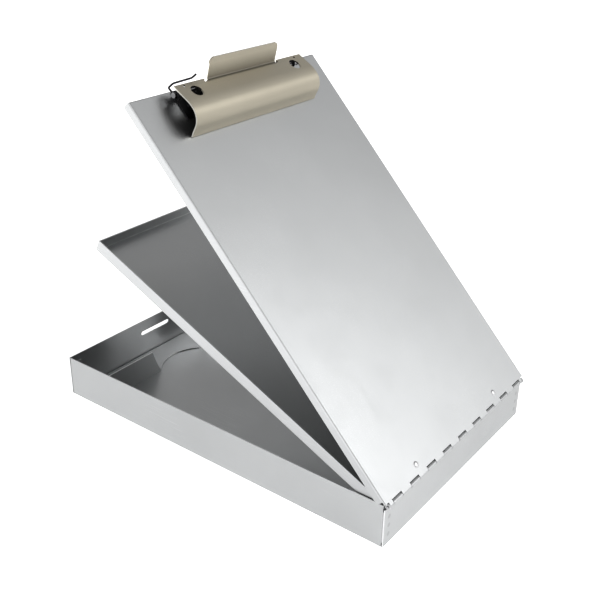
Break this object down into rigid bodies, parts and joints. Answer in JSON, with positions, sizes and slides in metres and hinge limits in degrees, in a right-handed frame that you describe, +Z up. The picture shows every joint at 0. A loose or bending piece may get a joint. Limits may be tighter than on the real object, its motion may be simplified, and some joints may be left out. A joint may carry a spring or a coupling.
{
  "type": "storage clipboard",
  "caption": "Aluminium storage clipboard: deep box, shallow tray and writing lid on one hinge, with a sprung paper clip and a latch.",
  "frame": {"origin": "centre of the underside of the box, which is the face that the clipboard rests on", "axes": "+X across the width, +Y from the hinge edge towards the clip edge, +Z up out of the box"},
  "size_m": [0.238, 0.3605, 0.3296],
  "materials": {
    "aluminium_sheet": "satin",
    "clip_nickel": "satin nickel plate",
    "clip_black": "black oxide on steel",
    "pin_steel": "drawn wire",
    "rivet_aluminium": "plain",
    "spring_black": "black oxide"
  },
  "bodies": {
    "box": {"box_pan": "aluminium_sheet", "tray_rest_rail": "aluminium_sheet", "hinge_pin": "pin_steel"},
    "tray": {"tray_pan": "aluminium_sheet"},
    "lid": {"lid_panel": "aluminium_sheet", "hinge_stiffener": "aluminium_sheet", "stiffener_rivets": "rivet_aluminium", "clip_base": "clip_black", "clip_base_rivets": "clip_black", "clip_rod": "pin_steel", "jaw_spring_right": "spring_black", "jaw_spring_left": "spring_black", "latch_pin": "pin_steel", "latch_spring": "spring_black"},
    "jaw": {"clip_jaw": "clip_nickel", "jaw_spring_arm": "spring_black"},
    "latch": {"latch_plate": "clip_nickel"}
  },
  "joints": [
    {"name": "tray_hinge", "type": "hinge", "parent": "box", "child": "tray", "pos_m": [0, -0.17956, 0.03925], "axis": [1, 0, 0], "range_deg": [-24.41, 65.59]},
    {"name": "lid_hinge", "type": "hinge", "parent": "tray", "child": "lid", "pos_m": [0, -0.17956, 0.03925], "axis": [1, 0, 0], "range_deg": [-22.12, 67.88]},
    {"name": "jaw_hinge", "type": "hinge", "parent": "lid", "child": "jaw", "pos_m": [0, 0.05947, 0.30457], "axis": [-1, 0, 0], "range_deg": [0, 35], "stiffness_Nm_per_rad": 0.6, "springref_deg": -45.84, "deforming": ["jaw_spring_right", "jaw_spring_left"]},
    {"name": "latch_hinge", "type": "hinge", "parent": "lid", "child": "latch", "pos_m": [-0.0044, 0.07078, 0.29868], "axis": [1, 0, 0], "range_deg": [0, 30], "stiffness_Nm_per_rad": 0.02, "springref_deg": -28.65, "deforming": ["latch_spring"]}
  ]
}
